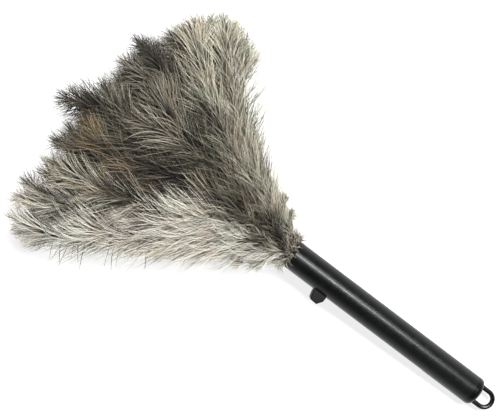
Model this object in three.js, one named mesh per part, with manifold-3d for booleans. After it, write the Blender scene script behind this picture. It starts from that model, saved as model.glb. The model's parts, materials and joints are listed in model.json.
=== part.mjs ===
// A retractable feather duster, lying on a flat surface.
// Millimetres. In the handle's own frame +X runs from the tube's mouth to the hang loop,
// and the knob is on the -Y side. The finished group is tilted onto the surface, +Z up.
import * as THREE from "three";
import { mergeVertices } from "three/addons/utils/BufferGeometryUtils.js";
import Module from "manifold-3d";

// Handle tube, which starts at x = 0.
const TUBE_RADIUS = 15;
const TUBE_WALL = 2.2;
const TUBE_LENGTH = 229.5;
const BORE_RADIUS = TUBE_RADIUS - TUBE_WALL;
const MOUTH_ROUNDING = 0.7;
const ROUND_SIDES = 56;
const INNER_SIDES = 28;
const HOLE_SIDES = 16;

// Clearance between neighbouring pieces, and how far a cutter runs past what it cuts.
const GAP = 0.3;
const OVERCUT = 2;

// End cap, with a plug in the tube's rear end.
const CAP_LENGTH = 8;
const CAP_ROUNDING = 5;
const CAP_START = TUBE_LENGTH + GAP;
const CAP_END = CAP_START + CAP_LENGTH;
const PLUG_LENGTH = 16;
const PLUG_CHAMFER = 1;
const PLUG_HOLLOW_RADIUS = 6;
const PLUG_HOLLOW_DEPTH = 12;

// Hang loop.
const LOOP_WIRE_RADIUS = 2.5;
const LOOP_HALF_WIDTH = 8.6;
const LOOP_OUT = 20.8;
const LOOP_SOCKET_DEPTH = 10;
const LOOP_STEPS = 28;
const LOOP_SIDES = 12;

// Slide knob and its slot. The travel is five inches.
const TRAVEL = 127;
const KNOB_CENTRE = 46.4;
const KNOB_WIDTH = 11;
const KNOB_BEVEL = 1.2;
const KNOB_SINK = 3;
const NECK_LENGTH = 10;
const NECK_WIDTH = 5.4;
const SLOT_MARGIN = 0.4;
const NECK_DEPTH_IN_CARRIAGE = 4;
// The knob from the side, steep towards the mouth and sloping towards the loop: distance along
// from its centre, and height off the tube.
const KNOB_OUTLINE = [
  [-7.2, -KNOB_SINK],
  [-7.2, 2.2],
  [-5.6, 8.2],
  [-3.8, 9.7],
  [2.6, 10.1],
  [6.6, 4.4],
  [6.6, -KNOB_SINK],
];

// Carriage.
const CARRIAGE_START = 28;
const CARRIAGE_END = 66;
const CARRIAGE_RADIUS = BORE_RADIUS - GAP;
const CARRIAGE_CHAMFER = 0.8;
const CARRIAGE_HOLLOW_RADIUS = 8;
const CARRIAGE_HOLLOW_DEPTH = 8;
const GROOVE_DEPTH = 1.6;
const RING_WIRE_RADIUS = 0.75;
const RING_SIDES = 6;
const GROOVE_WIDTH = 2 * RING_WIRE_RADIUS + 2 * GAP;
const FRONT_GROOVE_X = 32;
const REAR_GROOVE_X = 60;

// Core dowel, its pin, the ferrule and the binding.
const DOWEL_RADIUS = 4.2;
const DOWEL_START = -52;
const DOWEL_END = 44;
const DOWEL_CHAMFER = 1.2;
const PIN_RADIUS = 1.25;
const PIN_X = 37;
const PIN_INSET = 1;
const FERRULE_START = 17;
const FERRULE_END = CARRIAGE_START - GAP;
const FERRULE_CHAMFER = 1;
const WIRE_RADIUS = 0.4;
const WIRE_COIL_RADIUS = 12.05;
const WIRE_START = 5;
const WIRE_PITCH = 1.7;
const WIRE_TURNS = 4;
const WIRE_STEPS_PER_TURN = 18;
const WIRE_SIDES = 6;

// Plumes: three nested bell-shaped layers round the dowel.
const PLUME_ROOT_X = FERRULE_START - GAP;
const PLUME_RINGS = 12;
const PLUME_SIDES = 10;
const PLUME_ROOT_THICKNESS = 1.5;
const PLUME_FULL_THICKNESS = 3.6;
const PLUME_THICKENING_SHARE = 0.35;
const PLUME_FILL = 0.92;
const PLUME_TIP_SHARE = 0.26;
const PLUME_RING_BIAS = 1.7;
const TIP_WAVE = 0.035;
const TIP_WAVE_STEP = 5;
const TIP_WAVE_SHIFT = 3;
const SPREAD_RIGHT = 0.6;
const SPREAD_LEFT = 0.56;
const SPREAD_UP = 0.24;
const SPREAD_DOWN = 0.55;
const MOUTH_FLARE = 12;
const MOUTH_FLARE_LENGTH = 15;
const LAYERS = [
  { name: "outer", count: 10, rootRadius: 10.3, reach: 1, side: 212, crown: 246 },
  { name: "middle", count: 8, rootRadius: 8, reach: 0.66, side: 240, crown: 262 },
  { name: "inner", count: 5, rootRadius: 5.75, reach: 0.33, side: 268, crown: 280 },
];
const LEFT_EXTRA = 26;
const LONGEST_PLUME = 281;

// How the duster lies: the rear of the tube and the plumes touch the surface.
const TILT = THREE.MathUtils.degToRad(5.7);
const REST_X = 232.5;
const PLUME_FLOOR_CLEARANCE = 1;
const FLOOR_BLEND = 12;

const COLOURS = {
  tube: { color: 0x191b1b, roughness: 0.34 },
  cap: { color: 0x1b1c1c, roughness: 0.42 },
  loop: { color: 0x0f1010, roughness: 0.36 },
  knob: { color: 0x0b0b0b, roughness: 0.45 },
  carriage: { color: 0x2b2c2e, roughness: 0.5 },
  rubber: { color: 0x141414, roughness: 0.85 },
  dowel: { color: 0xb58a57, roughness: 0.7 },
  steel: { color: 0xa8a9ab, roughness: 0.3, metalness: 1 },
  ferrule: { color: 0x3a3b3d, roughness: 0.55 },
};
const PLUME_COLOURS = [0x7a7468, 0x8d8779, 0x6b655a, 0x9d978a, 0x746b5c];

const wasm = await Module();
wasm.setup();

// A three.js geometry as a manifold-3d solid.
function toSolid(geometry) {
  const bare = geometry.clone();
  bare.deleteAttribute("normal");
  bare.deleteAttribute("uv");
  const merged = mergeVertices(bare, 1e-4);
  return new wasm.Manifold(
    new wasm.Mesh({
      numProp: 3,
      vertProperties: new Float32Array(merged.attributes.position.array),
      triVerts: new Uint32Array(merged.index.array),
    }),
  );
}

// A manifold-3d solid as a three.js geometry.
function toGeometry(solid) {
  const mesh = solid.getMesh();
  const geometry = new THREE.BufferGeometry();
  const points = new THREE.BufferAttribute(new Float32Array(mesh.vertProperties), 3);
  geometry.setAttribute("position", points);
  geometry.setIndex(new THREE.BufferAttribute(new Uint32Array(mesh.triVerts), 1));
  return geometry;
}

// Turns a profile of [x, radius] pairs round the X axis.
function turned(profile, sides = ROUND_SIDES) {
  const points = profile.map(([x, radius]) => new THREE.Vector2(radius, x));
  return new THREE.LatheGeometry(points, sides).rotateZ(-Math.PI / 2);
}

// Profile points along an arc about [centreX, centreR]. At 0 degrees it is furthest from the axis.
function quarterRound(centreX, centreR, radius, fromDeg, toDeg, steps = 5) {
  const points = [];
  for (let i = 0; i <= steps; i++) {
    const a = THREE.MathUtils.degToRad(fromDeg + ((toDeg - fromDeg) * i) / steps);
    points.push([centreX + radius * Math.sin(a), centreR + radius * Math.cos(a)]);
  }
  return points;
}

function rod(radius, x0, x1, sides) {
  return turned([[x0, 0], [x0, radius], [x1, radius], [x1, 0]], sides);
}

// A rod through the axis at the pin's place, square to the slot.
function crossRod(radius, half) {
  return rod(radius, -half, half, HOLE_SIDES).rotateY(Math.PI / 2).translate(PIN_X, 0, 0);
}

// A length of the slot, or of the neck that runs in it: rounded ends, cut along Y.
function stadium(x0, x1, width, yOuter, yInner) {
  const r = width / 2;
  const shape = new THREE.Shape();
  shape.moveTo(x0 + r, -r);
  shape.lineTo(x1 - r, -r);
  shape.absarc(x1 - r, 0, r, -Math.PI / 2, Math.PI / 2, false);
  shape.lineTo(x0 + r, r);
  shape.absarc(x0 + r, 0, r, Math.PI / 2, (3 * Math.PI) / 2, false);
  const options = { depth: yInner - yOuter, bevelEnabled: false, curveSegments: 6 };
  const geometry = new THREE.ExtrudeGeometry(shape, options);
  return geometry.rotateX(-Math.PI / 2).translate(0, yOuter, 0);
}

function makeTube() {
  const m = MOUTH_ROUNDING;
  const profile = [
    [0, BORE_RADIUS + m],
    [0, TUBE_RADIUS - m],
    [m, TUBE_RADIUS],
    [TUBE_LENGTH, TUBE_RADIUS],
    [TUBE_LENGTH, BORE_RADIUS],
    [m, BORE_RADIUS],
    [0, BORE_RADIUS + m],
  ];
  const shell = toSolid(turned(profile));
  const half = NECK_LENGTH / 2 + SLOT_MARGIN;
  const width = NECK_WIDTH + 2 * SLOT_MARGIN;
  const cutter = stadium(
    KNOB_CENTRE - half,
    KNOB_CENTRE + TRAVEL + half,
    width,
    -TUBE_RADIUS - OVERCUT,
    -BORE_RADIUS + OVERCUT,
  );
  return toGeometry(shell.subtract(toSolid(cutter)));
}

function makeCap() {
  const plug = BORE_RADIUS - GAP;
  const plugStart = TUBE_LENGTH - PLUG_LENGTH;
  const profile = [
    [plugStart + PLUG_HOLLOW_DEPTH, 0],
    [plugStart + PLUG_HOLLOW_DEPTH, PLUG_HOLLOW_RADIUS],
    [plugStart, PLUG_HOLLOW_RADIUS],
    [plugStart, plug - PLUG_CHAMFER],
    [plugStart + PLUG_CHAMFER, plug],
    [CAP_START, plug],
    [CAP_START, TUBE_RADIUS],
    ...quarterRound(CAP_END - CAP_ROUNDING, TUBE_RADIUS - CAP_ROUNDING, CAP_ROUNDING, 0, 90),
    [CAP_END, 0],
  ];
  let cap = toSolid(turned(profile));
  const socket = LOOP_WIRE_RADIUS + GAP;
  for (const side of [-1, 1]) {
    const hole = rod(socket, CAP_END - LOOP_SOCKET_DEPTH, CAP_END + OVERCUT, HOLE_SIDES);
    cap = cap.subtract(toSolid(hole.translate(0, side * LOOP_HALF_WIDTH, 0)));
  }
  return toGeometry(cap);
}

// The loop's centreline: out along one leg, round the bend and back along the other.
class LoopPath extends THREE.Curve {
  getPoint(t, target = new THREE.Vector3()) {
    const bendX = CAP_END + LOOP_OUT - LOOP_WIRE_RADIUS - LOOP_HALF_WIDTH;
    const startX = CAP_END - LOOP_SOCKET_DEPTH + GAP;
    const leg = bendX - startX;
    const bend = Math.PI * LOOP_HALF_WIDTH;
    const along = t * (2 * leg + bend);
    if (along <= leg) return target.set(startX + along, -LOOP_HALF_WIDTH, 0);
    if (along >= leg + bend) {
      return target.set(bendX - (along - leg - bend), LOOP_HALF_WIDTH, 0);
    }
    const a = (along - leg) / LOOP_HALF_WIDTH - Math.PI / 2;
    const x = bendX + LOOP_HALF_WIDTH * Math.cos(a);
    return target.set(x, LOOP_HALF_WIDTH * Math.sin(a), 0);
  }
}

function sweptRound(path, radius, sides, steps) {
  const shape = new THREE.Shape();
  for (let i = 0; i < sides; i++) {
    const a = (2 * Math.PI * i) / sides;
    const x = radius * Math.cos(a);
    const y = radius * Math.sin(a);
    if (i === 0) shape.moveTo(x, y);
    else shape.lineTo(x, y);
  }
  shape.closePath();
  return new THREE.ExtrudeGeometry(shape, { extrudePath: path, steps, bevelEnabled: false });
}

function makeLoop() {
  return sweptRound(new LoopPath(), LOOP_WIRE_RADIUS, LOOP_SIDES, LOOP_STEPS);
}

function knobOutline() {
  return new THREE.Shape(
    KNOB_OUTLINE.map(([along, height]) => new THREE.Vector2(along, -TUBE_RADIUS - height)),
  );
}

function makeKnob() {
  const options = {
    depth: KNOB_WIDTH - 2 * KNOB_BEVEL,
    bevelEnabled: true,
    bevelSize: KNOB_BEVEL,
    bevelThickness: KNOB_BEVEL,
    bevelSegments: 2,
    bevelOffset: -KNOB_BEVEL / 2,
  };
  const outline = new THREE.ExtrudeGeometry(knobOutline(), options);
  outline.translate(KNOB_CENTRE, 0, -KNOB_WIDTH / 2 + KNOB_BEVEL);
  const seat = rod(TUBE_RADIUS + GAP, 0, TUBE_LENGTH, ROUND_SIDES);
  const knob = toSolid(outline).subtract(toSolid(seat));
  const half = NECK_LENGTH / 2;
  const inner = -CARRIAGE_RADIUS + NECK_DEPTH_IN_CARRIAGE;
  const outer = -TUBE_RADIUS - KNOB_SINK;
  const neck = stadium(KNOB_CENTRE - half, KNOB_CENTRE + half, NECK_WIDTH, outer, inner);
  return toGeometry(knob.add(toSolid(neck)));
}

function makeCarriage() {
  const r = CARRIAGE_RADIUS;
  const c = CARRIAGE_CHAMFER;
  const groove = (x) => [
    [x - GROOVE_WIDTH / 2, r],
    [x - GROOVE_WIDTH / 2, r - GROOVE_DEPTH],
    [x + GROOVE_WIDTH / 2, r - GROOVE_DEPTH],
    [x + GROOVE_WIDTH / 2, r],
  ];
  const socket = DOWEL_RADIUS + GAP;
  const profile = [
    [DOWEL_END + GAP, 0],
    [DOWEL_END + GAP, socket],
    [CARRIAGE_START, socket],
    [CARRIAGE_START, r - c],
    [CARRIAGE_START + c, r],
    ...groove(FRONT_GROOVE_X),
    ...groove(REAR_GROOVE_X),
    [CARRIAGE_END - c, r],
    [CARRIAGE_END, r - c],
    [CARRIAGE_END, CARRIAGE_HOLLOW_RADIUS],
    [CARRIAGE_END - CARRIAGE_HOLLOW_DEPTH, CARRIAGE_HOLLOW_RADIUS],
    [CARRIAGE_END - CARRIAGE_HOLLOW_DEPTH, 0],
  ];
  const body = toSolid(turned(profile, INNER_SIDES));
  const half = NECK_LENGTH / 2 + GAP;
  const inner = -r + NECK_DEPTH_IN_CARRIAGE + GAP;
  const outer = -r - OVERCUT;
  const width = NECK_WIDTH + 2 * GAP;
  const pocket = stadium(KNOB_CENTRE - half, KNOB_CENTRE + half, width, outer, inner);
  const pinHole = crossRod(PIN_RADIUS + GAP, r + OVERCUT);
  return toGeometry(body.subtract(toSolid(pocket)).subtract(toSolid(pinHole)));
}

function makeFrictionRing(x) {
  const middle = CARRIAGE_RADIUS - GROOVE_DEPTH + GAP / 2 + RING_WIRE_RADIUS;
  const ring = new THREE.TorusGeometry(middle, RING_WIRE_RADIUS, RING_SIDES, INNER_SIDES);
  return ring.rotateY(Math.PI / 2).translate(x, 0, 0);
}

function makeDowel() {
  const c = DOWEL_CHAMFER;
  const profile = [
    [DOWEL_START, 0],
    [DOWEL_START, DOWEL_RADIUS - c],
    [DOWEL_START + c, DOWEL_RADIUS],
    [DOWEL_END, DOWEL_RADIUS],
    [DOWEL_END, 0],
  ];
  const body = toSolid(turned(profile, INNER_SIDES));
  const hole = crossRod(PIN_RADIUS + GAP, DOWEL_RADIUS + OVERCUT);
  return toGeometry(body.subtract(toSolid(hole)));
}

function makePin() {
  return crossRod(PIN_RADIUS, CARRIAGE_RADIUS - PIN_INSET);
}

function makeFerrule() {
  const bore = DOWEL_RADIUS + GAP;
  const outer = CARRIAGE_RADIUS;
  const profile = [
    [FERRULE_START, bore],
    [FERRULE_START, outer - FERRULE_CHAMFER],
    [FERRULE_START + FERRULE_CHAMFER, outer],
    [FERRULE_END, outer],
    [FERRULE_END, bore],
    [FERRULE_START, bore],
  ];
  return turned(profile, INNER_SIDES);
}

// The binding wire's centreline, a close helix round the quills.
class HelixPath extends THREE.Curve {
  getPoint(t, target = new THREE.Vector3()) {
    const a = 2 * Math.PI * WIRE_TURNS * t;
    const x = WIRE_START + WIRE_PITCH * WIRE_TURNS * t;
    return target.set(x, WIRE_COIL_RADIUS * Math.cos(a), WIRE_COIL_RADIUS * Math.sin(a));
  }
}

function makeBinding() {
  const steps = WIRE_TURNS * WIRE_STEPS_PER_TURN;
  return sweptRound(new HelixPath(), WIRE_RADIUS, WIRE_SIDES, steps);
}

// The surface that the duster lies on, as a height below the handle's axis.
function floorDepth(x) {
  return TUBE_RADIUS + (REST_X - x) * Math.tan(TILT);
}

function smoothMin(a, b, width) {
  const h = THREE.MathUtils.clamp(0.5 + (b - a) / (2 * width), 0, 1);
  return b * (1 - h) + a * h - width * h * (1 - h);
}

// A layer's half-widths at a distance out of the mouth, for one direction round the axis.
function bellPoint(layer, out, angle) {
  const spread = Math.cos(angle) > 0 ? SPREAD_RIGHT : SPREAD_LEFT;
  const beyond = Math.max(out, 0);
  const free = beyond + MOUTH_FLARE * (1 - Math.exp(-beyond / MOUTH_FLARE_LENGTH));
  const side = layer.rootRadius + layer.reach * spread * free;
  const room = floorDepth(-beyond) - LAYERS[0].rootRadius - PLUME_FLOOR_CLEARANCE;
  const down = layer.rootRadius + layer.reach * smoothMin(SPREAD_DOWN * free, room, FLOOR_BLEND);
  const up = layer.rootRadius + layer.reach * SPREAD_UP * free;
  const height = Math.sin(angle) > 0 ? up : down;
  return new THREE.Vector2(side * Math.cos(angle), height * Math.sin(angle));
}

function plumeLength(layer, angle, index) {
  const crown = Math.abs(Math.sin(angle));
  const left = Math.max(-Math.cos(angle), 0);
  const even = layer.side + (layer.crown - layer.side) * crown + LEFT_EXTRA * left * layer.reach;
  const wave = Math.sin(TIP_WAVE_STEP * index + TIP_WAVE_SHIFT * layer.reach);
  return Math.min(even * (1 + TIP_WAVE * wave), LONGEST_PLUME);
}

// One plume: a curved leaf, thick in the middle, that follows its layer's bell.
function makePlume(layer, index) {
  const pitch = (2 * Math.PI) / layer.count;
  const centre = pitch * (index + layer.reach);
  const length = plumeLength(layer, centre, index);
  const positions = [];
  for (let i = 0; i < PLUME_RINGS; i++) {
    const t = 1 - (1 - Math.max(i - 1, 0) / (PLUME_RINGS - 1)) ** PLUME_RING_BIAS;
    const out = i === 0 ? -PLUME_ROOT_X : t * length;
    const past = Math.max((t - 1 + PLUME_TIP_SHARE) / PLUME_TIP_SHARE, 0);
    const round = Math.sqrt(1 - past * past);
    const half = (pitch / 2) * PLUME_FILL * round;
    const full = Math.min(t / PLUME_THICKENING_SHARE, 1);
    const thick = THREE.MathUtils.lerp(PLUME_ROOT_THICKNESS, PLUME_FULL_THICKNESS, full) * round;
    for (let j = 0; j < PLUME_SIDES; j++) {
      const a = (2 * Math.PI * j) / PLUME_SIDES;
      const point = bellPoint(layer, out, centre + half * Math.cos(a));
      const radius = point.length();
      point.multiplyScalar((radius + (thick / 2) * Math.sin(a)) / radius);
      positions.push(-out, point.x, point.y);
    }
  }
  const tip = bellPoint(layer, length, centre);
  positions.push(-length, tip.x, tip.y);
  const geometry = new THREE.BufferGeometry();
  geometry.setAttribute("position", new THREE.Float32BufferAttribute(positions, 3));
  geometry.setIndex(closedFaces(PLUME_RINGS, PLUME_SIDES));
  return geometry;
}

// Side faces between rings, a fan over the first ring and a fan to the tip vertex.
function closedFaces(rings, sides) {
  const faces = [];
  const tip = rings * sides;
  for (let j = 0; j < sides; j++) {
    const k = (j + 1) % sides;
    for (let i = 0; i + 1 < rings; i++) {
      const a = i * sides;
      const b = a + sides;
      faces.push(a + j, a + k, b + j, a + k, b + k, b + j);
    }
    const last = (rings - 1) * sides;
    faces.push(last + j, last + k, tip);
    if (j > 0 && j < sides - 1) faces.push(0, j + 1, j);
  }
  return faces;
}

const handle = new THREE.Group();

function addPiece(name, geometry, look) {
  const material = new THREE.MeshStandardMaterial({ metalness: 0, ...look });
  const mesh = new THREE.Mesh(geometry, material);
  mesh.name = name;
  handle.add(mesh);
}

addPiece("handle_tube", makeTube(), COLOURS.tube);
addPiece("end_cap", makeCap(), COLOURS.cap);
addPiece("hang_loop", makeLoop(), COLOURS.loop);
addPiece("slide_knob", makeKnob(), COLOURS.knob);
addPiece("carriage", makeCarriage(), COLOURS.carriage);
addPiece("friction_ring_front", makeFrictionRing(FRONT_GROOVE_X), COLOURS.rubber);
addPiece("friction_ring_rear", makeFrictionRing(REAR_GROOVE_X), COLOURS.rubber);
addPiece("core_dowel", makeDowel(), COLOURS.dowel);
addPiece("dowel_pin", makePin(), COLOURS.steel);
addPiece("quill_ferrule", makeFerrule(), COLOURS.ferrule);
addPiece("binding_wire", makeBinding(), COLOURS.steel);
for (const layer of LAYERS) {
  for (let i = 0; i < layer.count; i++) {
    const color = PLUME_COLOURS[(i * 3 + layer.count) % PLUME_COLOURS.length];
    const name = `plume_${layer.name}_${String(i + 1).padStart(2, "0")}`;
    addPiece(name, makePlume(layer, i), { color, roughness: 0.9 });
  }
}

// Lays the duster down, with the origin at the middle of the bounding box's base.
handle.rotation.y = TILT;
const duster = new THREE.Group();
duster.add(handle);
duster.updateMatrixWorld(true);
const box = new THREE.Box3().setFromObject(duster, true);
const middle = box.getCenter(new THREE.Vector3());
handle.position.set(-middle.x, -middle.y, -box.min.z);
duster.updateMatrixWorld(true);

export default duster;
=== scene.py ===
import json
import math
import bpy
import numpy as np
from mathutils import Matrix, Vector


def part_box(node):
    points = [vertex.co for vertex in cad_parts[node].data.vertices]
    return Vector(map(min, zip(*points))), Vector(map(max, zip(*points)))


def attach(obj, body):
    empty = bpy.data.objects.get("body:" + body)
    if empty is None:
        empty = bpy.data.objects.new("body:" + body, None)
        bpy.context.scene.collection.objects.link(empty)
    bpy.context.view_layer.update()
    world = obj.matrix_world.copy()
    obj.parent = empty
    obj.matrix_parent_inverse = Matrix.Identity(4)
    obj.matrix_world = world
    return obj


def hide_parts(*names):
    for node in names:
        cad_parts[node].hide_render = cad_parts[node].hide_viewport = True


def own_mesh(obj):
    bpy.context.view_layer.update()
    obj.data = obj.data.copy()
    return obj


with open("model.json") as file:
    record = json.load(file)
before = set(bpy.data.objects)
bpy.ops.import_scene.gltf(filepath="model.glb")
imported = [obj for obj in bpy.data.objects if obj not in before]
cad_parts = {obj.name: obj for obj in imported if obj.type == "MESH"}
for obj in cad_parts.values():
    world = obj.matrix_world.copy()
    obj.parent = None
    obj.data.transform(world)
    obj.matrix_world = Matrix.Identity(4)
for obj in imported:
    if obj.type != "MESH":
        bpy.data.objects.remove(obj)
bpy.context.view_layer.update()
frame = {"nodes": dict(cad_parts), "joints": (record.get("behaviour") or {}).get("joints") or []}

# The handle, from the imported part.
TUBE_RADIUS = 0.015
MOUTH_ROUNDING = 0.0007
JOINT = frame["joints"][0]
AXIS = np.array(JOINT["axis"], float)           # from the mouth to the loop
SIDE = np.array([0.0, 1.0, 0.0])                # away from the knob
UP = np.array([0.0, 0.0, 1.0])


def mouth_centre():
    """The middle of the tube's mouth, from the tube's box and the slope of its axis."""
    low, high = (np.array(v, float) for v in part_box("handle_tube"))
    x = low[0] - (TUBE_RADIUS - MOUTH_ROUNDING) * AXIS[2]
    z = high[2] - TUBE_RADIUS * AXIS[0] - MOUTH_ROUNDING * AXIS[2]
    return np.array([x, (low[1] + high[1]) / 2, z])


MOUTH = mouth_centre()

# ---------------------------------------------------------------- camera, light and floor
VIEW_ROLL = 37.1                                # how far the handle points down to the right
VIEW_FROM_MOUTH = np.array([-0.0613, 0.0111])   # the middle of the view, in plan
VIEW_HEIGHT = 1.35
VIEW_WIDTH = 0.5                                # at the mouth's height
VIEW_DEPTH = 20
SENSOR = 0.036

LIT_HEIGHT = 0.04                               # the lights point at this height over the mouth's place
KEY_PLACE = (0.0, 0.46, 1.25)
KEY_SIZE = (1.2, 0.26)
KEY_POWER = 42
FILL_PLACE = (-1.1, -0.95, 0.9)
FILL_SIZE = (0.8, 0.8)
FILL_POWER = 6

# The studio's brightness, by the height of a direction above the horizon: pale walls, and a dark
# ceiling that the glossy tube mirrors.
WALL = 0.80
WALL_TOP = 0.28
WALL_TOP_SHARE = 0.9
CEILING = 0.02
CEILING_EDGE = 0.42

FLOOR_HALF = 3.0
FLOOR_DROP = 0.0005
FLOOR_SHADE = 0.30
FLOOR_ROUGHNESS = 0.9
FLOOR_GLOW = 0.78


def place(obj, centre, right, up):
    """Stands a camera or light at centre, looking along its own -Z."""
    right, up = Vector(right).normalized(), Vector(up).normalized()
    back = right.cross(up)
    obj.matrix_world = Matrix((right, up, back)).transposed().to_4x4()
    obj.matrix_world.translation = Vector(centre)


def new_object(name, data):
    obj = bpy.data.objects.new(name, data)
    bpy.context.scene.collection.objects.link(obj)
    return obj


def make_camera():
    data = bpy.data.cameras.new("camera")
    data.sensor_width = SENSOR * 1000
    data.lens = SENSOR * 1000 * (VIEW_HEIGHT - MOUTH[2]) / VIEW_WIDTH
    data.clip_end = VIEW_DEPTH
    obj = new_object("camera", data)
    roll = math.radians(VIEW_ROLL)
    c, s = math.cos(roll), math.sin(roll)
    centre = (MOUTH[0] + VIEW_FROM_MOUTH[0], MOUTH[1] + VIEW_FROM_MOUTH[1], VIEW_HEIGHT)
    place(obj, centre, (c, s, 0), (-s, c, 0))
    bpy.context.scene.camera = obj


def area_light(name, centre, size, power):
    """A rectangular light that points at the duster."""
    data = bpy.data.lights.new(name, "AREA")
    data.shape = "RECTANGLE"
    data.size, data.size_y = size
    data.energy = power
    obj = new_object(name, data)
    back = (Vector(centre) - Vector((MOUTH[0], MOUTH[1], LIT_HEIGHT))).normalized()
    right = Vector((1, 0, 0))
    right = (right - back * right.dot(back)).normalized()
    place(obj, centre, right, back.cross(right))


def make_light():
    area_light("key", KEY_PLACE, KEY_SIZE, KEY_POWER)
    area_light("fill", FILL_PLACE, FILL_SIZE, FILL_POWER)
    world = bpy.data.worlds.new("studio")
    world.use_nodes = True
    tree = world.node_tree
    height = tree.nodes.new("ShaderNodeSeparateXYZ")
    tree.links.new(tree.nodes.new("ShaderNodeTexCoord").outputs["Generated"], height.inputs[0])
    walls = [
        (0.0, grey(WALL)),
        (WALL_TOP, grey(WALL * WALL_TOP_SHARE)),
        (CEILING_EDGE, grey(CEILING)),
    ]
    background = tree.nodes["Background"]
    tree.links.new(ramp(tree, height.outputs["Z"], walls), background.inputs[0])
    background.inputs[1].default_value = 1.0
    bpy.context.scene.world = world


def make_floor():
    h = FLOOR_HALF
    mesh = bpy.data.meshes.new("floor")
    mesh.from_pydata([(-h, -h, 0), (h, -h, 0), (h, h, 0), (-h, h, 0)], [], [(0, 1, 2, 3)])
    floor = new_object("floor", mesh)
    floor.location.z = -FLOOR_DROP
    material, _, shader = new_material("floor_white")
    shader.inputs["Base Color"].default_value = (*grey(FLOOR_SHADE), 1)
    shader.inputs["Roughness"].default_value = FLOOR_ROUGHNESS
    shader.inputs["Emission Color"].default_value = (1, 1, 1, 1)
    shader.inputs["Emission Strength"].default_value = FLOOR_GLOW
    mesh.materials.append(material)


# ---------------------------------------------------------------- materials
def grey(v):
    return (v, v, v)


def new_material(name):
    material = bpy.data.materials.new(name)
    material.use_nodes = True
    tree = material.node_tree
    return material, tree, tree.nodes["Principled BSDF"]


def add(tree, kind, **inputs):
    """A new node with some of its inputs set; a space in an input's name is written as _."""
    node = tree.nodes.new(kind)
    for key, value in inputs.items():
        node.inputs[key.replace("_", " ")].default_value = value
    return node


def ramp(tree, source, stops):
    """A colour ramp of [(position, colour)], fed by a factor output."""
    node = tree.nodes.new("ShaderNodeValToRGB")
    elements = node.color_ramp.elements
    while len(elements) < len(stops):
        elements.new(0.5)
    for element, (position, colour) in zip(elements, stops):
        element.position = position
        element.color = (*colour, 1)
    tree.links.new(source, node.inputs[0])
    return node.outputs[0]


def mix_colour(tree, factor, a, b, blend="MIX"):
    """Mixes two colours; each of factor, a and b is a value or another node's output."""
    node = tree.nodes.new("ShaderNodeMix")
    node.data_type = "RGBA"
    node.blend_type = blend
    for value, socket in ((factor, node.inputs[0]), (a, node.inputs[6]), (b, node.inputs[7])):
        if isinstance(value, bpy.types.NodeSocket):
            tree.links.new(value, socket)
        elif isinstance(value, (int, float)):
            socket.default_value = value
        else:
            socket.default_value = (*value, 1)
    return node.outputs[2]


def noise(tree, where, scale, **inputs):
    """A noise texture's factor, read at the given place."""
    node = add(tree, "ShaderNodeTexNoise", Scale=scale, **inputs)
    tree.links.new(where, node.inputs["Vector"])
    return node.outputs[0]


def place_on_object(tree):
    return add(tree, "ShaderNodeTexCoord").outputs["Object"]


def set_roughness(tree, shader, source, stops):
    """Roughness from a noise, as [(noise value, roughness)]."""
    tree.links.new(ramp(tree, source, [(at, grey(v)) for at, v in stops]), shader.inputs["Roughness"])


def set_bump(tree, shader, source, strength, height):
    node = add(tree, "ShaderNodeBump", Strength=strength, Distance=height)
    tree.links.new(source, node.inputs["Height"])
    tree.links.new(node.outputs[0], shader.inputs["Normal"])


def plastic(name, base, light, rough, grain=900.0, bump=0.04, wear=0.2, shine=0.5):
    """Moulded plastic: mottled colour, fine grain, scuffed high spots and lighter edges."""
    material, tree, shader = new_material(name)
    where = place_on_object(tree)
    cloud = noise(tree, where, 22.0, Detail=5.0, Roughness=0.6)
    fine = noise(tree, where, grain, Detail=3.0)
    scuff = noise(tree, where, 140.0, Detail=8.0, Roughness=0.7)
    colour = ramp(tree, cloud, [(0.3, base), (0.75, light)])
    edges = add(tree, "ShaderNodeNewGeometry").outputs["Pointiness"]
    edge = ramp(tree, edges, [(0.60, grey(0)), (0.75, grey(wear))])
    worn = tuple(min(1, 0.10 + 2.2 * v) for v in light)
    tree.links.new(mix_colour(tree, edge, colour, worn), shader.inputs["Base Color"])
    set_roughness(tree, shader, scuff, [(0.35, rough - 0.05), (0.7, rough + 0.09)])
    set_bump(tree, shader, fine, bump, 0.0004)
    shader.inputs["Specular IOR Level"].default_value = shine
    return material


def metal(name, colour, rough):
    material, tree, shader = new_material(name)
    grain = noise(tree, place_on_object(tree), 400.0, Detail=4.0)
    stops = [(0.3, tuple(c * 0.8 for c in colour)), (0.7, colour)]
    tree.links.new(ramp(tree, grain, stops), shader.inputs["Base Color"])
    set_roughness(tree, shader, grain, [(0.3, rough), (0.8, rough + 0.2)])
    set_bump(tree, shader, grain, 0.1, 0.0002)
    shader.inputs["Metallic"].default_value = 1.0
    return material


def wood(name, dark, light):
    """Wood with its grain along X."""
    material, tree, shader = new_material(name)
    stretch = add(tree, "ShaderNodeMapping", Scale=(40.0, 600.0, 600.0))
    tree.links.new(place_on_object(tree), stretch.inputs["Vector"])
    grain = noise(tree, stretch.outputs[0], 1.0, Detail=6.0)
    tree.links.new(ramp(tree, grain, [(0.3, dark), (0.7, light)]), shader.inputs["Base Color"])
    set_roughness(tree, shader, grain, [(0.2, 0.55), (0.8, 0.75)])
    set_bump(tree, shader, grain, 0.2, 0.0003)
    return material


# Feathers shade from a warmer to a greener grey in soft clouds.
WARM = (1.0, 0.93, 0.86)
PLAIN = (1.0, 1.0, 1.0)
COOL = (0.955, 1.0, 0.945)
# Painted shade: barbs darken towards the quill, where they lie deep in the head.
ROOT_SHADE = 0.2                                 # brightness of a dark barb's root, against its middle
DARK_TIP = 1.5                                  # and of its tip


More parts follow.
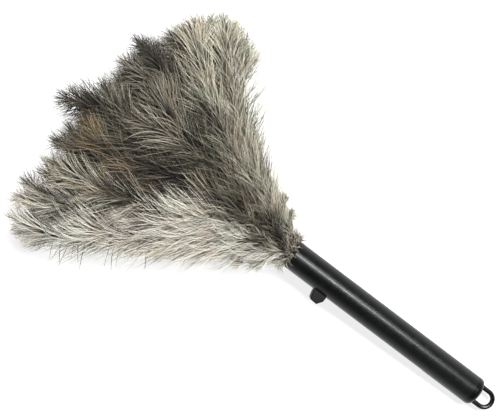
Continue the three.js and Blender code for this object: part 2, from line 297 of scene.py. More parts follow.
def feather_material(name, dark, light, tip):
    """Barbs, coloured by two mesh attributes: tone from barb to barb, and along from quill to tip, with
    painted shade towards the quill.
    """
    material, tree, shader = new_material(name)
    tone = tree.nodes.new("ShaderNodeAttribute")
    tone.attribute_name = "tone"
    along = tree.nodes.new("ShaderNodeAttribute")
    along.attribute_name = "along"
    root = tuple(c * ROOT_SHADE for c in dark)
    brown = tuple(c * DARK_TIP for c in dark)
    # Both ramps darken towards along 0, at the quill: painted shade deep in the head.
    low = ramp(tree, along.outputs["Fac"], [(0.0, root), (0.5, dark), (1.0, brown)])
    high = ramp(tree, along.outputs["Fac"], [(0.0, dark), (0.6, light), (1.0, tip)])
    colour = mix_colour(tree, tone.outputs["Fac"], low, high)
    where = place_on_object(tree)
    fine = noise(tree, where, 700.0, Detail=3.0)
    cloud = noise(tree, where, 38.0, Detail=4.0, Roughness=0.6)
    tint = ramp(tree, cloud, [(0.36, WARM), (0.5, PLAIN), (0.64, COOL)])
    shade = ramp(tree, fine, [(0.3, grey(0.82)), (0.7, grey(1.0))])
    colour = mix_colour(tree, 1.0, colour, tint, "MULTIPLY")
    colour = mix_colour(tree, 1.0, colour, shade, "MULTIPLY")
    tree.links.new(colour, shader.inputs["Base Color"])
    set_roughness(tree, shader, fine, [(0.3, 0.55), (0.7, 0.75)])
    set_bump(tree, shader, fine, 0.3, 0.0002)
    shader.inputs["Specular IOR Level"].default_value = 0.25
    return material


# Dark barbs, pale barbs, and the tips of the pale ones.
PALETTES = {
    "taupe": ((0.010, 0.0085, 0.006), (0.29, 0.265, 0.207), (0.50, 0.46, 0.365)),
    "dark": ((0.006, 0.005, 0.0033), (0.125, 0.112, 0.083), (0.285, 0.26, 0.196)),
    "grey": ((0.012, 0.0108, 0.008), (0.46, 0.43, 0.348), (0.68, 0.635, 0.525)),
    "silver": ((0.050, 0.046, 0.037), (0.72, 0.69, 0.61), (0.92, 0.89, 0.80)),
    "cream": ((0.018, 0.0165, 0.0115), (0.47, 0.445, 0.355), (0.84, 0.80, 0.635)),
    "amber": ((0.018, 0.013, 0.008), (0.25, 0.185, 0.115), (0.46, 0.35, 0.21)),
}
# The shares of dark, middling and pale barbs of each colouring.
MIXES = {
    "taupe": (0.62, 0.12, 0.26),
    "dark": (0.70, 0.12, 0.18),
    "grey": (0.54, 0.12, 0.34),
    "silver": (0.33, 0.13, 0.54),
    "cream": (0.44, 0.14, 0.42),
    "amber": (0.56, 0.18, 0.26),
}
UNDER_MIX = (0.24, 0.36, 0.40)
FEATHERS = {key: feather_material("feather_" + key, *colours) for key, colours in PALETTES.items()}
QUILL = plastic("quill_horn", (0.10, 0.085, 0.06), (0.20, 0.17, 0.12), 0.42, grain=500.0, wear=0.05)


def paint_cad():
    """Gives every hard part of the CAD model its own material."""
    rubber = plastic("ring_rubber", (0.012, 0.012, 0.012), (0.02, 0.02, 0.02), 0.75, wear=0.1)
    black = (0.003, 0.0038, 0.0038)
    looks = {
        "handle_tube": plastic("handle_satin", (0.0012, 0.0016, 0.0017), black, 0.31, bump=0.02, shine=0.28),
        "end_cap": plastic("cap_satin", (0.0014, 0.0018, 0.0019), black, 0.30, bump=0.02, shine=0.24),
        "hang_loop": plastic("loop_satin", (0.0016, 0.002, 0.002), (0.0035, 0.004, 0.004), 0.30, shine=0.25),
        "slide_knob": plastic("knob_matte", grey(0.002), grey(0.004), 0.45, shine=0.15),
        "carriage": plastic("carriage_grey", (0.04, 0.04, 0.045), (0.06, 0.06, 0.065), 0.45),
        "friction_ring_front": rubber,
        "friction_ring_rear": rubber,
        "quill_ferrule": plastic("ferrule_grey", (0.05, 0.05, 0.055), (0.07, 0.07, 0.075), 0.5),
        "core_dowel": wood("dowel_wood", (0.30, 0.17, 0.08), (0.55, 0.37, 0.20)),
        "dowel_pin": metal("pin_metal", (0.55, 0.55, 0.56), 0.28),
        "binding_wire": metal("wire_metal", (0.50, 0.50, 0.51), 0.3),
    }
    for node, material in looks.items():
        data = frame["nodes"][node].data
        data.materials.clear()
        data.materials.append(material)


# ---------------------------------------------------------------- barbs
BARB_STEPS = 6
BARB_WIDTH = 0.00031                            # half of a plume's barb's width at its widest
LOOSE_WIDTH = 0.00036                           # the same for the short barbs round the mouth
STRAY_WIDTH = 0.00062                           # and for the strays
BARBULES = 5
BARBULE_LENGTH = 0.0024
BARBULE_FOOT = 0.00013                          # half of a barbule's width where it leaves its barb
BARBULE_AIM = (0.9, 0.7)                        # how much it points ahead, and sideways
BARBULE_WILDNESS = 0.35
BARBULE_RANGE = (0.6, 1.2)                      # how their lengths differ
BARBULE_FADE = 0.5                              # how much shorter they are at a barb's tip
BARBULES_END = 0.96                             # they stop just before it
FLOOR_MARGIN = 0.0015                           # barbs lie this high over the floor, or a little more
FLOOR_MARGIN_RANGE = 0.001
LOWEST = 0.0004                                 # and nothing goes lower than this
BARB_TONES = [0.03, 0.36, 0.92]                 # dark, middling and pale
LOCK_TONES = 3                                  # neighbouring barbs that share a colour
LOCK_SIZES = (2, 7)                             # neighbouring barbs whose ends lie together
LOCK_RANGE = (0.5, 1.0)                         # how their pull differs
RIBBON_FOOT = 0.75                              # a barb's width where it starts, against its widest
RIBBON_SWELL = 1.6
RIBBON_TAPER = 2.2
RIBBON_TIP = 0.05
UV_ALONG_MARGIN = 0.01
UV_TONE_MARGIN = 0.02
UV_SPREAD = 0.004                               # keeps a barb's two edges apart on the bake's layer

# How barbs differ: a slow drift, the number of barbs that it takes, and each barb's own part.
LENGTH_WANDER = (0.14, 9, 0.13)
OPENING_WANDER = (11, 16, 10)
LIFT_WANDER = (13, 8, 7)
CURL_WANDER = (0.30, 12, 0.20)
HOOK_WANDER = (0.5, 7, 0.32)
TONE_WANDER = (0.11, 9, 0.07)


def unit(v):
    return v / np.maximum(np.linalg.norm(v, axis=-1, keepdims=True), 1e-12)


def smooth(edge0, edge1, x):
    t = np.clip((x - edge0) / (edge1 - edge0), 0, 1)
    return t * t * (3 - 2 * t)


def smooth_noise(rng, n, step):
    """n random values from -1 to 1 that change smoothly over about step values."""
    knots = rng.uniform(-1, 1, int(n / step) + 3)
    return np.interp(np.arange(n) / step, np.arange(len(knots)), knots)


def wander(rng, n, drift, step, jitter):
    """n random differences, made of a slow drift and of each value's own jitter."""
    return drift * smooth_noise(rng, n, step) + jitter * rng.normal(size=n)


def grow(base, length, heading):
    """Barbs' centrelines, as (n, k+1, 3), from base along heading(u), with u from 0 to 1."""
    path = [base]
    for k in range(BARB_STEPS):
        step = unit(heading((k + 0.5) / BARB_STEPS)) * (length / BARB_STEPS)[:, None]
        path.append(path[-1] + step)
    return np.stack(path, 1)


def barb_tones(mix, shift, rng, n):
    """Mostly dark barbs with paler ones among them, as shares from 0 to 1."""
    locks = rng.choice(BARB_TONES, size=n // LOCK_TONES + 1, p=mix)
    kind = np.repeat(locks, LOCK_TONES)[:n]
    return np.clip(kind + wander(rng, n, *TONE_WANDER) + shift, 0.01, 0.99)


def gather_locks(path, rng, strength):
    """Pulls the ends of neighbouring barbs together, so that they lie in pointed locks."""
    n = len(path)
    start = 0
    shares = np.linspace(0, 1, path.shape[1])[None, :, None] ** 2.0
    while start < n:
        size = int(rng.integers(*LOCK_SIZES))
        lock = path[start:start + size]
        pull = strength * rng.uniform(*LOCK_RANGE)
        centre = lock.mean(axis=0, keepdims=True)
        lock += (centre - lock) * shares * pull
        start += size
    return path


def ribbon_mesh(path, normal, width, rng):
    """Vertices and quads of a tapered strip along every path."""
    n, k = path.shape[:2]
    direction = unit(np.gradient(path, axis=1))
    roll = rng.uniform(-1.0, 1.0, n)
    flat = unit(np.cross(direction, normal[:, None, :]))
    other = np.cross(direction, flat)
    across = flat * np.cos(roll)[:, None, None] + other * np.sin(roll)[:, None, None]
    u = np.linspace(0, 1, k)
    belly = RIBBON_FOOT + (1 - RIBBON_FOOT) * np.sin(np.pi * np.minimum(u * RIBBON_SWELL, 1))
    half = width * (belly * (1 - u ** RIBBON_TAPER) + RIBBON_TIP)[None, :, None]
    left, right = path + across * half, path - across * half
    vertices = np.stack([left, right], 2).reshape(-1, 3)
    index = np.arange(n * k * 2).reshape(n, k, 2)
    a, b = index[:, :-1, 0], index[:, :-1, 1]
    c, d = index[:, 1:, 1], index[:, 1:, 0]
    quads = np.stack([a, b, c, d], -1).reshape(-1, 4)
    along = np.repeat(np.tile(u, n), 2)
    return vertices, quads, along, direction, across


def barbule_mesh(path, direction, across, rng):
    """Vertices and triangles of the fine hairs down both edges of every barb."""
    n, k = path.shape[:2]
    u = (np.arange(BARBULES) + rng.uniform(0.1, 0.9, (n, BARBULES))) / BARBULES * BARBULES_END
    position = u * (k - 1)
    i = np.minimum(position.astype(int), k - 2)
    f = (position - i)[..., None]
    rows = np.arange(n)[:, None]
    point = path[rows, i] * (1 - f) + path[rows, i + 1] * f
    ahead = direction[rows, i]
    side = across[rows, i] * np.where(np.arange(BARBULES) % 2, 1, -1)[None, :, None]
    wild = rng.normal(size=(n, BARBULES, 3)) * BARBULE_WILDNESS
    aim = unit(ahead * BARBULE_AIM[0] + side * BARBULE_AIM[1] + wild)
    reach = BARBULE_LENGTH * rng.uniform(*BARBULE_RANGE, (n, BARBULES, 1))
    reach = reach * (1 - BARBULE_FADE * u[..., None])
    foot = ahead * BARBULE_FOOT
    vertices = np.stack([point - foot, point + foot, point + aim * reach], 2).reshape(-1, 3)
    triangles = np.arange(n * BARBULES * 3).reshape(-1, 3)
    return vertices, triangles, np.repeat(u.reshape(-1), 3)


def barb_mesh(path, normal, tone, width, rng):
    """All barbs with their hairs: vertices, quads, triangles, and along and tone at each vertex."""
    ribbons, quads, along, direction, across = ribbon_mesh(path, normal, width, rng)
    hairs, triangles, hair_along = barbule_mesh(path, direction, across, rng)
    tones = np.concatenate([np.repeat(tone, path.shape[1] * 2), np.repeat(tone, BARBULES * 3)])
    vertices = np.concatenate([ribbons, hairs])
    return vertices, quads, triangles + len(ribbons), np.concatenate([along, hair_along]), tones


def build_mesh(name, vertices, quads, triangles, along, tone, quill_faces, materials):
    """A Blender mesh. quill_faces take the second material, and the UV layer is for baking."""
    mesh = bpy.data.meshes.new(name)
    vertices[:, 2] = np.maximum(vertices[:, 2], LOWEST)
    loops = np.concatenate([quads.reshape(-1), triangles.reshape(-1)])
    totals = np.concatenate([np.full(len(quads), 4), np.full(len(triangles), 3)])
    starts = np.concatenate([[0], np.cumsum(totals)[:-1]])
    mesh.vertices.add(len(vertices))
    mesh.vertices.foreach_set("co", vertices.astype(np.float32).reshape(-1))
    mesh.loops.add(len(loops))
    mesh.loops.foreach_set("vertex_index", loops.astype(np.int32))
    mesh.polygons.add(len(totals))
    mesh.polygons.foreach_set("loop_start", starts.astype(np.int32))
    for material in materials:
        mesh.materials.append(material)
    index = np.zeros(len(totals), np.int32)
    index[quill_faces] = 1
    mesh.polygons.foreach_set("material_index", index)
    for key, values in (("along", along), ("tone", tone)):
        attribute = mesh.attributes.new(key, "FLOAT", "POINT")
        attribute.data.foreach_set("value", values.astype(np.float32))
    spread = np.tile([-1.0, 1.0], len(vertices) // 2 + 1)[: len(vertices)] * UV_SPREAD
    u = along * (1 - 2 * UV_ALONG_MARGIN) + UV_ALONG_MARGIN
    v = (tone + spread) * (1 - 2 * UV_TONE_MARGIN) + UV_TONE_MARGIN
    uv = np.stack([u[loops], v[loops]], 1)
    layer = mesh.uv_layers.new(name="OFBake")
    layer.data.foreach_set("uv", uv.astype(np.float32).reshape(-1))
    mesh.update(calc_edges=True)
    mesh.validate()
    return mesh


def add_piece(name, mesh):
    piece = new_object(name, mesh)
    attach(piece, "handle")
    return piece


def make_sheaf(name, path, normal, tone, palette, width, rng):
    """A piece made of barbs alone, without a quill."""
    vertices, quads, triangles, along, tones = barb_mesh(path, normal, tone, width, rng)
    no_quill = np.zeros(0, int)
    mesh = build_mesh(name, vertices, quads, triangles, along, tones, no_quill, [FEATHERS[palette]])
    return add_piece(name, mesh)


# ---------------------------------------------------------------- plumes
QUILL_STEPS = 40
QUILL_SIDES = 6
QUILL_RADII = (0.0011, 0.0003)                  # at its root and at its tip
QUILL_SINK = 0.014                              # how far the quills reach into the mouth
QUILL_TONE = 0.5
QUILL_STRAIGHT = 0.16                           # share of the reach over which a quill leaves straight
QUILL_SPREAD = 0.14                             # and how much it turns outwards meanwhile
QUILL_BEND = 0.70                               # where along the span it bows and arches most
ARCH = 0.020
NOD = 0.014                                     # how far a plume's tip curls down
NOD_RANGE = (0.78, 1.1)                         # over these shares of the quill
NOD_REACH = 0.15                                # plumes shorter than this nod less
BOW = 0.16                                      # how much a quill may bow to either side
FLARE_BOW = -0.24                               # the plumes away from the knob curve out to their tips
FLARE_FANS = (24, 36)                           # from none at the first of these fan angles

# A plume's barbs. Those near its tip make a tuft that points all ways between the sides.
TUFT_SHARE = 0.30
TUFT_START = 0.86
TUFT_RISE = (0.78, 1.0)
TUFT_SHORTENING = 0.52
TUFT_OPENING = 95
TUFT_CURL = 0.30
TUFT_DROOP = 0.6
SIDE_BARBS_END = 0.9
ROOT_LENGTH = 0.45                              # a barb's length at the quill's root
ROOT_GROWTH = 0.55                              # and what it gains
ROOT_GROWTH_END = 0.25                          # over this share of the quill
OPENING = 30                                    # the angle between quill and barb
OPENING_RANGE = 8
COVER_SHARE = 0.45                              # barbs that lie over the quill instead of beside it
COVER_TURN = (-0.6, 0.8)
COVER_LIFT = 14
LIFT = 4
# The tones are the feathers' own mix; keeping the dark ones underneath adds painted shade deep in each
# plume.
PALE_LIFT = 22                                  # pale barbs stand higher than dark ones
MEAN_TONE = 0.4
CURL = 0.30                                     # how far a barb turns along the quill by its end
FOLD = 0.45                                     # how much its end folds away from the quill
FOLD_FADE = (0.80, 0.97)
DROOP = 0.7
DROOP_RANGE = (0.3, 1.4)
LOCK_PULL = 0.5
SIDE_LIMIT = 0.152                              # barbs further out than this are drawn in
SIDE_SQUEEZE = 0.5

# Which way a plume's upper face turns, for a plume on top and for one underneath: how far up, and
# how far out to its own side.
TOP_FACING = (1.0, 0.9)
UNDER_FACING = (-0.8, 1.2)
# How plumes differ, besides their places: shares of the ring and of the barbs' length, and tones.
RING_RANGE = (0.5, 1.0)
BARB_RANGE = (0.9, 1.1)
TONE_RANGE = (-0.05, 0.08)

SETTINGS_SEED = 1000
SHAPE_SEED = 5000
UNDER_SEED = 300

# For each layer: barbs on either side of a quill, their length, and how far from the axis the
# quills leave the mouth.
LAYERS = {
    "outline": (390, 0.047, 0.0085),
    "crown": (410, 0.048, 0.0085),
    "under": (240, 0.046, 0.0085),
    "collar": (150, 0.020, 0.0125),
}
# The plumes that make the outline, seen from above, from the knob's side round to the other:
# fan angle in degrees, reach and height of the tip, colouring.
OUTLINE = [
    (-32.5, 0.272, 0.044, "silver"),
    (-30, 0.274, 0.058, "silver"),
    (-28, 0.262, 0.036, "grey"),
    (-25.5, 0.276, 0.052, "silver"),
    (-22, 0.270, 0.062, "taupe"),
    (-19, 0.256, 0.056, "dark"),
    (-16, 0.252, 0.076, "cream"),
    (-11.5, 0.254, 0.072, "dark"),
    (-8, 0.246, 0.070, "taupe"),
    (-4.5, 0.238, 0.094, "amber"),
    (-2.5, 0.266, 0.088, "dark"),
    (0, 0.250, 0.080, "dark"),
    (4, 0.242, 0.080, "taupe"),
    (8, 0.236, 0.074, "dark"),
    (12, 0.244, 0.086, "taupe"),
    (17, 0.250, 0.096, "dark"),
    (20, 0.214, 0.072, "dark"),
    (24, 0.240, 0.084, "taupe"),
    (27, 0.238, 0.074, "dark"),
    (30, 0.240, 0.090, "cream"),
    (33, 0.240, 0.076, "cream"),
    (36, 0.236, 0.086, "cream"),
    (38.5, 0.228, 0.066, "cream"),
    (40, 0.212, 0.050, "cream"),
    (33, 0.216, 0.056, "grey"),
]
# Shorter plumes over them, which make the top of the head.
CROWN = [
    (-29.5, 0.196, 0.060, "silver"),
    (-28, 0.222, 0.070, "silver"),
    (-24, 0.170, 0.084, "silver"),
    (-20, 0.205, 0.088, "grey"),
    (-14, 0.200, 0.096, "dark"),
    (-6, 0.175, 0.102, "dark"),
    (-2, 0.215, 0.100, "dark"),
    (3, 0.195, 0.106, "taupe"),
    (9, 0.165, 0.108, "dark"),
    (14, 0.205, 0.110, "taupe"),
    (20, 0.180, 0.102, "taupe"),
    (25, 0.195, 0.094, "grey"),
    (27, 0.165, 0.080, "grey"),
    (-31, 0.135, 0.054, "silver"),
    (-26, 0.125, 0.072, "silver"),
    (-17, 0.130, 0.082, "silver"),
    (-9, 0.115, 0.086, "grey"),
    (2, 0.110, 0.090, "dark"),
    (14, 0.120, 0.088, "dark"),
    (21, 0.130, 0.080, "taupe"),
    (26, 0.105, 0.066, "grey"),
]
# Short plumes over the mouth, which hide where the long ones leave it.
COLLAR = [
    (-52, 0.040, 0.038, "silver"),
    (-44, 0.058, 0.046, "silver"),
    (-36, 0.050, 0.058, "silver"),
    (-22, 0.055, 0.064, "grey"),
    (-8, 0.048, 0.070, "taupe"),
    (6, 0.056, 0.070, "dark"),
    (20, 0.048, 0.070, "dark"),
    (34, 0.052, 0.062, "taupe"),
    (44, 0.058, 0.048, "grey"),
    (52, 0.040, 0.040, "grey"),
]
# The plumes underneath, which a loop spreads out: their fan angles, the reach of the longest in the
# middle, what they lose for each degree of fan and at random, and the heights of their tips.
UNDER_COUNT = 50
UNDER_FANS = (-31, 36)
UNDER_REACH = 0.260
UNDER_NARROWING = 0.0006
UNDER_SHORTENING = 0.034
UNDER_HEIGHT = 0.012
UNDER_HEIGHT_RANGE = 0.045
GOLDEN = 0.618034
# Their colourings, and the fan angle that each group starts from.
UNDER_PALETTES = [
    (-90, ["taupe", "dark", "silver", "grey"]),
    (-13, ["grey", "taupe", "silver"]),
    (22, ["grey", "cream"]),
]


def quill_curve(plume):
    """Points along a plume's quill, from the mouth out to its tip, as an (n, 3) array."""
    fan, reach = math.radians(plume["fan"]), plume["reach"]
    tip = MOUTH + np.array([-math.cos(fan) * reach, math.sin(fan) * reach, 0])
    tip[2] = plume["height"]
    around = plume["around"]
    ring = plume["ring"] * (SIDE * math.cos(around) + np.cross(AXIS, SIDE) * math.sin(around))
    p0 = MOUTH + ring
    span = tip - p0
    p1 = p0 - AXIS * QUILL_STRAIGHT * reach + span * QUILL_SPREAD
    p2 = p0 + span * QUILL_BEND + np.cross(span, UP) * plume["bow"] + UP * plume["arch"]
    t = np.linspace(0, 1, QUILL_STEPS)[:, None]
    curve = (1 - t) ** 3 * p0 + 3 * (1 - t) ** 2 * t * p1 + 3 * (1 - t) * t * t * p2 + t ** 3 * tip
    return curve - UP * NOD * smooth(*NOD_RANGE, t) * min(1.0, reach / NOD_REACH)


def along_curve(curve, s):
    """Points and unit tangents of a polyline at shares s of its length."""
    x = np.linspace(0, 1, len(curve))
    points = np.stack([np.interp(s, x, curve[:, k]) for k in range(3)], 1)
    steps = np.gradient(curve, axis=0)
    tangents = unit(np.stack([np.interp(s, x, steps[:, k]) for k in range(3)], 1))
    return points, tangents


def tube_along(curve, radius0, radius1):
    """A tapered tube, for the quill."""
    steps = unit(np.gradient(curve, axis=0))
    flat = unit(np.cross(steps, UP + 0.01))
    other = np.cross(steps, flat)
    angle = np.arange(QUILL_SIDES) * 2 * np.pi / QUILL_SIDES
    radius = np.linspace(radius0, radius1, len(curve))[:, None, None]
    ring = flat[:, None] * np.cos(angle)[None, :, None] + other[:, None] * np.sin(angle)[None, :, None]
    vertices = (curve[:, None] + ring * radius).reshape(-1, 3)
    index = np.arange(len(curve) * QUILL_SIDES).reshape(len(curve), QUILL_SIDES)
    ahead = np.roll(index, -1, axis=1)
    quads = np.stack([index[:-1], ahead[:-1], ahead[1:], index[1:]], -1).reshape(-1, 4)
    return vertices, quads


def barb_settings(plume, rng, n):
    """Where the barbs of one side leave the quill, and how long, open, raised and curled each is."""
    in_tuft = rng.uniform(0, 1, n) < TUFT_SHARE
    s = np.sort(np.where(in_tuft, rng.uniform(TUFT_START, 1.0, n), rng.uniform(0, SIDE_BARBS_END, n)))
    end = smooth(*TUFT_RISE, s)
    length = plume["barb"] * (ROOT_LENGTH + ROOT_GROWTH * smooth(0.0, ROOT_GROWTH_END, s))
    length = length * (1 - TUFT_SHORTENING * end) * (1 + wander(rng, n, *LENGTH_WANDER))
    opening = (plume["open"] + wander(rng, n, *OPENING_WANDER)) * (1 - end)
    opening = opening + rng.uniform(0, TUFT_OPENING, n) * end
    cover = rng.uniform(0, 1, n) < COVER_SHARE
    opening = np.where(cover, opening * rng.uniform(*COVER_TURN, n), opening)
    lift = LIFT + wander(rng, n, *LIFT_WANDER) + COVER_LIFT * cover
    curl = CURL + wander(rng, n, *CURL_WANDER) + TUFT_CURL * end
    droop = DROOP * rng.uniform(*DROOP_RANGE, n) * (1 + TUFT_DROOP * end)
    return s, length, np.radians(opening), np.radians(lift), curl, droop


def side_barbs(plume, curve, side, rng):
    """Centrelines, normals and tones of the barbs on one side of a quill."""
    n = plume["barbs"]
    s, length, opening, lift, curl, droop = barb_settings(plume, rng, n)
    tone = barb_tones(plume["mix"], plume["tone"], rng, n)
    # Pale barbs rise over dark ones, so the dark ones lie below as painted shade.
    lift = lift + math.radians(PALE_LIFT) * (tone - MEAN_TONE)
    base, tangent = along_curve(curve, s)
    across = unit(np.cross(tangent, unit(plume["facing"]))) * side
    normal = unit(np.cross(across, tangent)) * side
    hook = wander(rng, n, *HOOK_WANDER) + FOLD * (1 - smooth(*FOLD_FADE, s))
    start = (
        tangent * (np.cos(opening) * np.cos(lift))[:, None]
        + across * (np.sin(opening) * np.cos(lift))[:, None]
        + normal * np.sin(lift)[:, None]
    )

    def heading(u):
        bend = curl * smooth(0.0, 1.0, u)
        return (
            start * (1 - bend)[:, None]
            + tangent * bend[:, None]
            + across * (hook * u * u)[:, None]
            - normal * (droop * u * u)[:, None]
        )

    return gather_locks(grow(base, length, heading), rng, LOCK_PULL), normal, tone


def held_in(across):
    """Draws in the barbs that stand out furthest to the sides."""
    beyond = np.maximum(np.abs(across) - SIDE_LIMIT, 0)
    return across - np.sign(across) * beyond * SIDE_SQUEEZE


def make_plume(name, plume):
    """One plume, with its quill and all its barbs. Returns the piece and the place of its tip."""
    rng = np.random.default_rng(plume["seed"])
    curve = quill_curve(plume)
    sides = [side_barbs(plume, curve, side, rng) for side in (-1, 1)]
    path, normal, tone = (np.concatenate(values) for values in zip(*sides))
    path[..., 1] = held_in(path[..., 1])
    floor = FLOOR_MARGIN + FLOOR_MARGIN_RANGE * rng.uniform(0, 1, path.shape[:2])
    path[..., 2] = np.maximum(path[..., 2], floor)
    barbs, quads, triangles, along, tones = barb_mesh(path, normal, tone, BARB_WIDTH, rng)
    root = MOUTH + (curve[0] - MOUTH) * 0.9 + AXIS * QUILL_SINK
    quill, quill_quads = tube_along(np.concatenate([[root], curve]), *QUILL_RADII)
    quill_faces = np.arange(len(quads), len(quads) + len(quill_quads))
    mesh = build_mesh(
        name,
        np.concatenate([barbs, quill]),
        np.concatenate([quads, quill_quads + len(barbs)]),
        triangles,
        np.concatenate([along, np.linspace(0, 1, len(quill))]),
        np.concatenate([tones, np.full(len(quill), QUILL_TONE)]),
        quill_faces,
        [FEATHERS[plume["palette"]], QUILL],
    )
    piece = add_piece(name, mesh)
    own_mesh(piece)
    return piece, curve[-1]


def plume_settings(fan, reach, height, palette, number, layer):
    """All the settings of one plume; the small differences come from its own number."""
    rng = np.random.default_rng(SETTINGS_SEED + number)
    barbs, barb, ring = LAYERS[layer]
    under = layer == "under"
    up, out = UNDER_FACING if under else TOP_FACING
    turn = math.radians(fan) * (2 if under else 1)
    flare = FLARE_BOW * float(smooth(*FLARE_FANS, fan))
    return {
        "fan": fan,
        "reach": reach,
        "height": height,
        "palette": palette,
        "mix": UNDER_MIX if under else MIXES[palette],
        "arch": 0.0 if under else ARCH,
        "facing": UP * up + SIDE * out * math.sin(turn),
        "barbs": barbs,
        "around": math.radians(rng.uniform(0, 360)),
        "ring": ring * rng.uniform(*RING_RANGE),
        "bow": rng.uniform(-BOW, BOW) + flare,
        "barb": barb * rng.uniform(*BARB_RANGE),
        "open": OPENING + rng.uniform(-OPENING_RANGE, OPENING_RANGE),
        "tone": rng.uniform(*TONE_RANGE),
        "seed": SHAPE_SEED + number,
    }


def under_entry(i):
    """Fan angle, reach, height and colouring of one plume underneath."""
    rng = np.random.default_rng(UNDER_SEED + i)
    first, last = UNDER_FANS
    fan = first + (last - first) * ((i * GOLDEN) % 1.0)
    reach = UNDER_REACH - UNDER_NARROWING * abs(fan) - UNDER_SHORTENING * rng.uniform(0, 1)
    height = UNDER_HEIGHT + UNDER_HEIGHT_RANGE * rng.uniform(0, 1)
    choices = [group for start, group in UNDER_PALETTES if fan >= start][-1]
    return fan, reach, height, choices[i % len(choices)]


def all_plumes():
    under = [under_entry(i) for i in range(UNDER_COUNT)]
    plumes = []
    for layer, entries in (("outline", OUTLINE), ("crown", CROWN), ("collar", COLLAR), ("under", under)):
        for entry in entries:
            plumes.append(plume_settings(*entry, len(plumes), layer))
    return plumes


def stand_for_cad(plumes):
    """Hides each CAD plume, after finding the plume whose tip is nearest to its own; that plume is not used
    again.
    """
    free = list(plumes)
    for node in sorted(n for n in frame["nodes"] if n.startswith("plume_")):
        low, high = (np.array(v, float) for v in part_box(node))
        tip = MOUTH + ((low + high) / 2 - MOUTH) * 2    # a plume's box is half way out to its tip
        best = min(range(len(free)), key=lambda i: float(np.linalg.norm(free[i][1] - tip)))
        piece, _ = free.pop(best)
        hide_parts(node)


# ---------------------------------------------------------------- ruffs and strays
# Ruffs are short barbs round the mouth, each on an arc of it: the middle of the arc, in degrees from
# the side away from the knob, going underneath first, and its colouring.
RUFFS = [
    (0, "grey"),
    (50, "taupe"),
    (100, "dark"),
    (150, "silver"),
    (200, "silver"),
    (255, "grey"),
    (310, "grey"),
]
RUFF_BARBS = 150
RUFF_HALF_ARC = 34
RUFF_RADII = (0.0085, 0.0122)                   # where its barbs start, from the axis
RUFF_OFFSET = 0.0006                            # and how far in front of the mouth
RUFF_LEAN = (8, 80)                             # from straight out to nearly along the axis
RUFF_LENGTH = (0.011, 0.022)
RUFF_OUTWARD = 0.8                              # how strongly its barbs head away from the axis
RUFF_SPREAD = 0.35                              # and how much more at their ends
RUFF_FORWARD = 0.25
RUFF_SWIRL = 0.35
RUFF_BACK_SHARE = 0.4                           # the barbs that turn back over the lip
RUFF_BACK = (0.4, 1.5)
RUFF_BACK_IN = 0.9                              # how these bend in towards the tube
RUFF_BACK_ALONG = 1.7                           # and along it
RUFF_PULL = 0.3
RUFF_TONE = 0.05
RUFF_SEED = 7000
LIP_CLEARANCE = 0.0008
LIP_START = -0.0004                             # along the axis from the mouth

# Strays are loose barbs that hang out past the lower edge of the head, on the knob's side. Each
# starts inside the head: how far out from the mouth, and how far across for that.
STRAYS = 14
STRAY_OUT = (0.11, 0.206)
STRAY_ACROSS = 0.010
STRAY_SLOPE = 0.56
STRAY_HEIGHT = (0.022, 0.04)
STRAY_LENGTH = (0.026, 0.042)
STRAY_AHEAD = 0.35                              # how much they run towards the handle
STRAY_LEAN = 0.3                                # how this differs from one to the next
STRAY_CURL = 0.8                                # and how much more at their ends
STRAY_SAG = 0.25
STRAY_TONE = 0.12                               # all are dark, up to this tone
STRAY_LIMIT = 0.160                             # none reaches further across than this
STRAY_SEED = 42


def off_the_tube(path, radial):
    """Pushes out of the tube's wall what turns back over its lip."""
    along = (path - MOUTH) @ AXIS
    away = np.linalg.norm(path - MOUTH - along[..., None] * AXIS, axis=-1)
    clear = TUBE_RADIUS + LIP_CLEARANCE
    push = np.where((along > LIP_START) & (away < clear), clear - away, 0)
    path[:, 1:] += (radial[:, None] * push[..., None])[:, 1:]
    return path


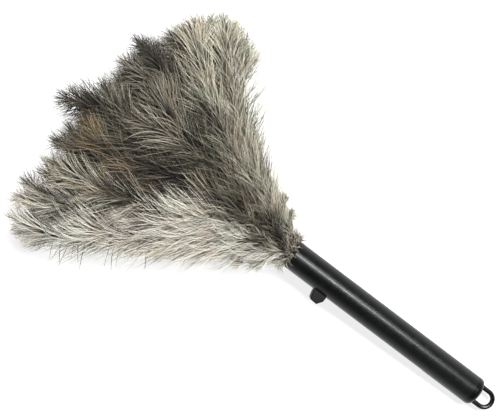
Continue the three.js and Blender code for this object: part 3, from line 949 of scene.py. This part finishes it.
def make_ruff(name, centre, palette, number):
    """Short barbs that stand out all along one arc of the mouth, some of them back over its lip."""
    rng = np.random.default_rng(RUFF_SEED + number)
    n = RUFF_BARBS
    around = np.radians(centre + rng.uniform(-RUFF_HALF_ARC, RUFF_HALF_ARC, n))
    radial = SIDE * np.cos(around)[:, None] + np.cross(SIDE, AXIS) * np.sin(around)[:, None]
    base = MOUTH + radial * rng.uniform(*RUFF_RADII, n)[:, None] - AXIS * RUFF_OFFSET
    out = np.radians(rng.uniform(*RUFF_LEAN, n))
    length = rng.uniform(*RUFF_LENGTH, n)
    turn = rng.normal(size=n) * RUFF_SWIRL
    back = np.where(rng.uniform(0, 1, n) < RUFF_BACK_SHARE, rng.uniform(*RUFF_BACK, n), 0)
    swirl = np.cross(radial, AXIS)

    def heading(u):
        return (
            radial * (np.cos(out) * RUFF_OUTWARD + RUFF_SPREAD * u - RUFF_BACK_IN * back * u * u)[:, None]
            - AXIS * (RUFF_FORWARD + np.sin(out) - back * u * RUFF_BACK_ALONG)[:, None]
            + swirl * (turn * u)[:, None]
        )

    path = off_the_tube(gather_locks(grow(base, length, heading), rng, RUFF_PULL), radial)
    tone = barb_tones(MIXES[palette], RUFF_TONE, rng, n)
    return make_sheaf(name, path, radial, tone, palette, LOOSE_WIDTH, rng)


def make_strays():
    rng = np.random.default_rng(STRAY_SEED)
    n = STRAYS
    out = rng.uniform(*STRAY_OUT, n)
    base = MOUTH + np.stack([-out, -STRAY_ACROSS - STRAY_SLOPE * out, np.zeros(n)], 1)
    base[:, 2] = rng.uniform(*STRAY_HEIGHT, n)
    length = rng.uniform(*STRAY_LENGTH, n)
    lean = rng.normal(size=n) * STRAY_LEAN

    def heading(u):
        ahead = STRAY_AHEAD + lean + STRAY_CURL * u * lean
        return np.stack([ahead, -np.ones(n), -STRAY_SAG * u * np.ones(n)], 1)

    path = grow(base, length, heading)
    path[..., 1] = np.maximum(path[..., 1], -STRAY_LIMIT)
    tone = rng.uniform(0, STRAY_TONE, n)
    strays = make_sheaf("strays", path, np.tile(UP, (n, 1)), tone, "dark", STRAY_WIDTH, rng)
    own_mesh(strays)


bpy.context.scene.view_settings.view_transform = "Standard"
make_camera()
make_light()
make_floor()
paint_cad()
stand_for_cad([make_plume(f"plume_{i + 1:03d}", plume) for i, plume in enumerate(all_plumes())])
for number, (centre, palette) in enumerate(RUFFS):
    make_ruff(f"ruff_{number + 1}", centre, palette, number)
make_strays()
